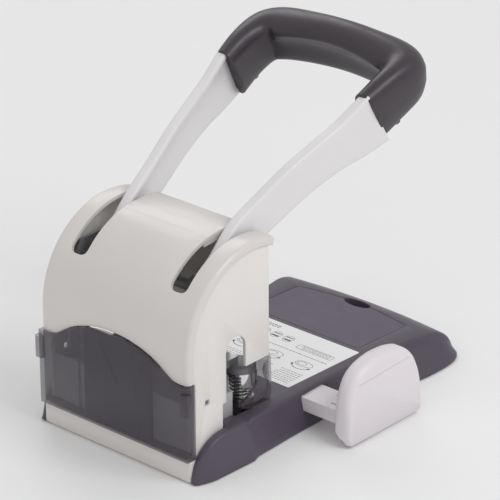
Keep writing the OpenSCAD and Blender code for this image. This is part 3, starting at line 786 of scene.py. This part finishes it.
def make_grip():
    other = [(-x, y, z, w, t, 180 - turn) for x, y, z, w, t, turn in reversed(GRIP_HALF[:-1])]
    stations = smooth_path(GRIP_HALF + other, 2)
    grip = rings_object("handle_grip", [grip_ring(s) for s in stations])
    crease = grip.data.attributes.new("crease_edge", "FLOAT", "EDGE")
    count = len(SLEEVE)
    last = len(grip.data.vertices) - count
    for edge in grip.data.edges:
        a, b = sorted(edge.vertices)
        along = (b - a) % count == 0
        if (a < count and b < count) or (a >= last and b >= last):
            crease.data[edge.index].value = 0.75
        elif along and a % count in (3, 4, 11):
            crease.data[edge.index].value = 0.55
    subdivide(grip, 2)
    finish_piece(grip, "grip_plastic", "handle", ["grip"], 50)


# ---------- Chip drawer ----------

def make_bin():
    rear = bin_box.y1 - 2
    outline = drawer_arch_outline(0)[::-1] + [(drawer_half, bin_box.z0), (-drawer_half, bin_box.z0)]
    outer = layered("smoked_bin_cover", outline[::-1], "y",
                    [(68.3, 0), (rear - 0.6, 0), (rear - 0.15, 0.15), (rear, 0.6)])
    inner = prism("hollow", [(-62.3, bin_box.z0 + 2), (62.3, bin_box.z0 + 2), (62.3, 120), (-62.3, 120)],
                  "y", 60, rear - 2)
    carve(outer, inner)
    finish_piece(outer, "smoked_plastic", "chip_drawer", ["bin_cover"], 35)
    for name, sign in SIDES.items():
        clip = rounded([(sign * 60, rear - 1), (sign * 66.5, rear - 3.5), (sign * 66.5, rear + 1.2),
                        (sign * 65.3, rear + 2), (sign * 60.6, rear + 2), (sign * 60, rear + 1.2)], 0.5, 3)
        latch = prism("bin_latch_" + name, clip, "z", 49, 64)
        soften(latch, 0.5, 2, 40)
        finish_piece(latch, "smoked_plastic", "chip_drawer")
    for index, x in enumerate((31, -20)):
        rib = prism("bin_rib_%d" % index, rounded([(x - 0.5, 20), (x + 0.5, 20), (x + 0.5, 80), (x - 0.5, 80)],
                                                  0.3, 2), "y", rear - 3.4, rear - 2.1)
        finish_piece(rib, "smoked_plastic", "chip_drawer")


# ---------- Paper guide ----------

def make_guide():
    corners = [(-97, 1.2), (-27.5, 1.2), (-25, 6), (-24.8, 28), (-28, 41), (-33.5, 49.5), (-43, 54.2), (-55, 56.2),
               (-70, 55.4), (-83, 51.9), (-91.5, 44.5), (-96.5, 33), (-99, 20), (-98.8, 6)]
    outline = rounded(corners, [3, 3, 6] + [40] * 10 + [6], 4)
    x0, x1 = guide_box.x0, guide_box.x1
    foot_x = x0 + 3
    rings = []
    for x, depth in [(x1, 1.2), (x1 - 0.3, 0.5), (x1 - 1, 0), (x1 - 4, 0), (x1 - 7, 0.05), (x0 + 3.4, 0.3),
                     (x0 + 2, 0.8), (x0 + 0.9, 1.5), (x0 + 0.3, 2.2), (x0, 3)]:
        floor_z = ramp(max(x, foot_x), foot_x, 0, x1, bar_box.z0 - 0.4)
        ring = []
        for (y, z), near in zip(inset(outline, 1), outline):
            share = max(0, min(1, (near[1] - 6) / 34))
            reach = depth * (0.5 + 0.9 * share)
            place_y = near[0] + (y - near[0]) * reach
            place_z = near[1] + (z - near[1]) * reach
            ring.append((x, place_y, max(place_z, floor_z)))
        rings.append(ring)
    plate = rings_object("paper_guide_plate", rings)
    finish_piece(plate, "guide_plastic", "paper_guide", ["guide_plate"], 60)

    section = rounded([(bar_box.y0, bar_box.z0), (bar_box.y1, bar_box.z0), (bar_box.y1, bar_box.z1),
                       (bar_box.y0, bar_box.z1)], 0.7, 3)
    bar = layered("paper_guide_bar", section, "x", [(bar_box.x0, 0), (bar_box.x1 - 0.6, 0), (bar_box.x1, 0.6)])
    finish_piece(bar, "guide_plastic", "paper_guide", ["guide_bar"])
    marks = []
    for y, length in ((bar_box.y1 - 6, 13), (bar_box.y0 + 6, 17)):
        start = bar_box.x0 + 1
        marks.append(prism("mark", [(start, y - 0.35), (start + length, y - 0.35), (start + length, y + 0.35),
                                    (start, y + 0.35)], "z", bar_box.z1 - 0.1, bar_box.z1 + 0.05))
    for index, mark in enumerate(marks):
        mark.name = "guide_mark_%d" % index
        mark.data.materials.append(ink)
        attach(mark, "paper_guide")


# ---------- Punch units ----------

def make_punches():
    for name, sign in SIDES.items():
        x = sign * cap_box.x
        top, low = cap_box.z1, cap_box.z0
        r = 10.2
        cap = lathe("punch_cap_moulding_" + name, [(0.01, top), (r - 2.2, top), (r - 1.2, top - 0.25),
                                                   (r - 0.4, top - 0.9), (r, top - 1.8), (r, low), (0.01, low)],
                    (x, 0), 64)
        finish_piece(cap, "cap_plastic", "punch_carriage", ["punch_cap_" + name])
        turns = 6.5
        low = foot_box.z1 - 2.3
        high = cup_box.z1 - 2.5
        coil = []
        steps = int(turns * 28)
        for i in range(steps + 1):
            t = i / steps
            a = 2 * math.pi * turns * t
            coil.append((x + 7 * math.cos(a), 7 * math.sin(a), low + (high - low) * t))
        spring = tube("punch_spring_coil_" + name, coil, 0.75)
        finish_piece(spring, "tool_steel", None, ["punch_spring_" + name], 60)
        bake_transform(spring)


def make_guards():
    outline = [(-1, 64), (-8, 60), (-15, 52), (-19.5, 43), (-20, 35), (-17.5, 29), (-13, 25.6), (4, 25.6), (10, 26.4),
               (17, 29), (17, 32.5), (11, 34.5), (5, 38.5), (2.4, 43), (3, 52), (4.5, 60), (3, 63)]
    closed = smooth_path(outline + [outline[0]], 4)[:-1]
    plan_outer = arc(37, -3, 20, -100, 0, 24) + [(57, 20)]
    plan_inner = [(54.6, 20)] + arc(37, -3, 17.6, 0, -100, 24)
    for name, sign in SIDES.items():
        plan = [(sign * x, y) for x, y in plan_outer + plan_inner]
        guard = prism("finger_guard_shell_" + name, plan, "z", 20, 70)
        low_x, high_x = sorted((sign * 30, sign * 60))
        carve(guard, prism("trim", closed, "x", low_x, high_x), "INTERSECT")
        carve(guard, prism("inner", [(-40, -40), (40, -40), (40, 40), (-40, 40)], "z", 0, 90))
        soften(guard, 0.5, 2, 45)
        finish_piece(guard, "smoked_plastic", "base", ["finger_guard_" + name], 40)


# ---------- Stage ----------

def make_stage():
    world = bpy.data.worlds.new("studio")
    bpy.context.scene.world = world
    world.use_nodes = True
    sky = world.node_tree.nodes["Background"]
    sky.inputs["Color"].default_value = (1, 1, 1, 1)
    sky.inputs["Strength"].default_value = 0.62
    size = 4.0
    mesh = bpy.data.meshes.new("floor")
    corners = [(-size, -size, 0), (size, -size, 0), (size, size, 0), (-size, size, 0)]
    mesh.from_pydata(corners, [], [(0, 1, 2, 3)])
    floor = bpy.data.objects.new("floor", mesh)
    bpy.context.scene.collection.objects.link(floor)
    pale = plastic("pale_floor", (0.9, 0.9, 0.9, 1), 0.8, 0.0, spread=0.005)
    floor.data.materials.append(pale)
    for name, place, power, width in [
        ("key", (-1.3, -0.2, 1.5), 11, 0.9),
        ("fill", (-0.3, 1.8, 1.2), 2.5, 1.2),
        ("rim", (1.2, -0.9, 1.3), 4, 0.8),
    ]:
        data = bpy.data.lights.new(name, "AREA")
        data.energy = power
        data.size = width
        light = bpy.data.objects.new(name, data)
        light.location = place
        aim = Vector((0, -0.04, 0.1)) - Vector(place)
        light.rotation_euler = aim.to_track_quat("-Z", "Y").to_euler()
        bpy.context.scene.collection.objects.link(light)


def make_camera():
    target = Vector((-0.0094, -0.0440, 0.1042))
    azimuth, elevation = math.radians(222.03), math.radians(24.49)
    distance = 1.9412
    roll = math.radians(-0.38)
    back = Vector((math.sin(azimuth) * math.cos(elevation), -math.cos(azimuth) * math.cos(elevation),
                   math.sin(elevation)))
    data = bpy.data.cameras.new("camera")
    data.lens = 216.5
    data.sensor_width = 36
    camera = bpy.data.objects.new("camera", data)
    camera.location = target + back * distance
    camera.rotation_mode = "QUATERNION"
    camera.rotation_quaternion = (Matrix.Rotation(roll, 3, back) @ (-back).to_track_quat("-Z", "Y").to_matrix()
                                  ).to_quaternion()
    bpy.context.scene.collection.objects.link(camera)
    bpy.context.scene.camera = camera
    bpy.context.scene.view_settings.view_transform = "Standard"


make_camera()
make_stage()
make_cover()
make_panels()
make_fascia()
make_sill()
make_base()
make_label()
make_label_art()
make_arms()
make_grip()
make_bin()
make_guide()
make_punches()
make_guards()
